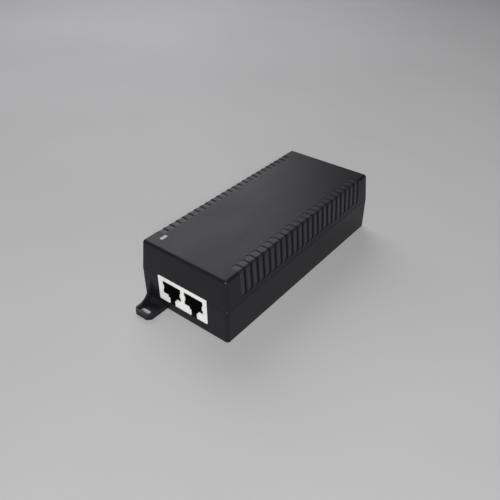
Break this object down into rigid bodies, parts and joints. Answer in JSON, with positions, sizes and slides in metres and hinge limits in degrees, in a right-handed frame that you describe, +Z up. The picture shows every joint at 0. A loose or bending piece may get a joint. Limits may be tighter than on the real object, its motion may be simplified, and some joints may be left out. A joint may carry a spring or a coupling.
{
  "type": "poe injector",
  "caption": "Box-shaped power-over-Ethernet injector with louvred sides, a twin RJ45 jack at one end, a mains inlet at the other and slotted screw ears.",
  "frame": {"origin": "centre of the footprint, on the surface that the case stands on", "axes": "+Z up; -Y out of the RJ45 jacks and +Y out of the mains inlet; +X to the right seen from the jacks"},
  "size_m": [0.0544, 0.1502, 0.0345],
  "materials": {
    "case_plastic": "fine spark texture, matt dark grey",
    "port_plastic": "smooth white thermoplastic",
    "jack_black": "smooth black thermoplastic",
    "inlet_plastic": "smooth black thermoplastic",
    "carrier_plastic": "smooth light grey",
    "light_pipe": "diffusing clear acrylic",
    "lamp": "clear epoxy",
    "screw_steel": "zinc plated",
    "pin_metal": "nickel plated brass",
    "contact_gold": "gold plated spring wire",
    "label_film": "matt silver film, left blank",
    "insulator": "polypropylene film",
    "board": "solder mask over glass laminate",
    "fuse_case": "moulded case",
    "varistor_epoxy": "dipped epoxy",
    "film_box": "boxed film capacitor",
    "ferrite": "sintered ferrite",
    "copper_wire": "enamelled copper wire",
    "chip_epoxy": "moulded epoxy",
    "capacitor_sleeve": "shrunk sleeve",
    "heatsink_metal": "extruded plate",
    "bobbin_plastic": "phenolic",
    "winding_tape": "polyester tape",
    "ceramic_disc": "dipped ceramic disc"
  },
  "bodies": {
    "root": {"upper_shell": "case_plastic", "lower_shell": "case_plastic", "case_screws": "screw_steel", "rating_label": "label_film", "insulating_sheet": "insulator", "main_board": "board", "jack_bezel": "port_plastic", "jack_housing": "jack_black", "data_port_carrier": "carrier_plastic", "power_port_carrier": "carrier_plastic", "data_port_contacts": "contact_gold", "power_port_contacts": "contact_gold", "inlet_housing": "inlet_plastic", "line_pin": "pin_metal", "neutral_pin": "pin_metal", "earth_pin": "pin_metal", "light_pipe": "light_pipe", "status_lamp": "lamp", "input_fuse": "fuse_case", "varistor": "varistor_epoxy", "x_capacitor": "film_box", "choke_core": "ferrite", "choke_windings": "copper_wire", "bridge_rectifier": "chip_epoxy", "bulk_capacitor": "capacitor_sleeve", "primary_heatsink": "heatsink_metal", "secondary_heatsink": "heatsink_metal", "power_transistor": "chip_epoxy", "output_rectifier": "chip_epoxy", "heatsink_screws": "screw_steel", "transformer_core": "ferrite", "transformer_bobbin": "bobbin_plastic", "transformer_winding": "winding_tape", "y_capacitor": "ceramic_disc", "optocoupler": "chip_epoxy", "power_controller": "chip_epoxy", "pse_controller": "chip_epoxy", "lan_transformer": "chip_epoxy", "output_capacitors": "capacitor_sleeve", "inductor_core": "ferrite", "inductor_winding": "copper_wire", "chip_resistors": "chip_epoxy"}
  },
  "joints": []
}
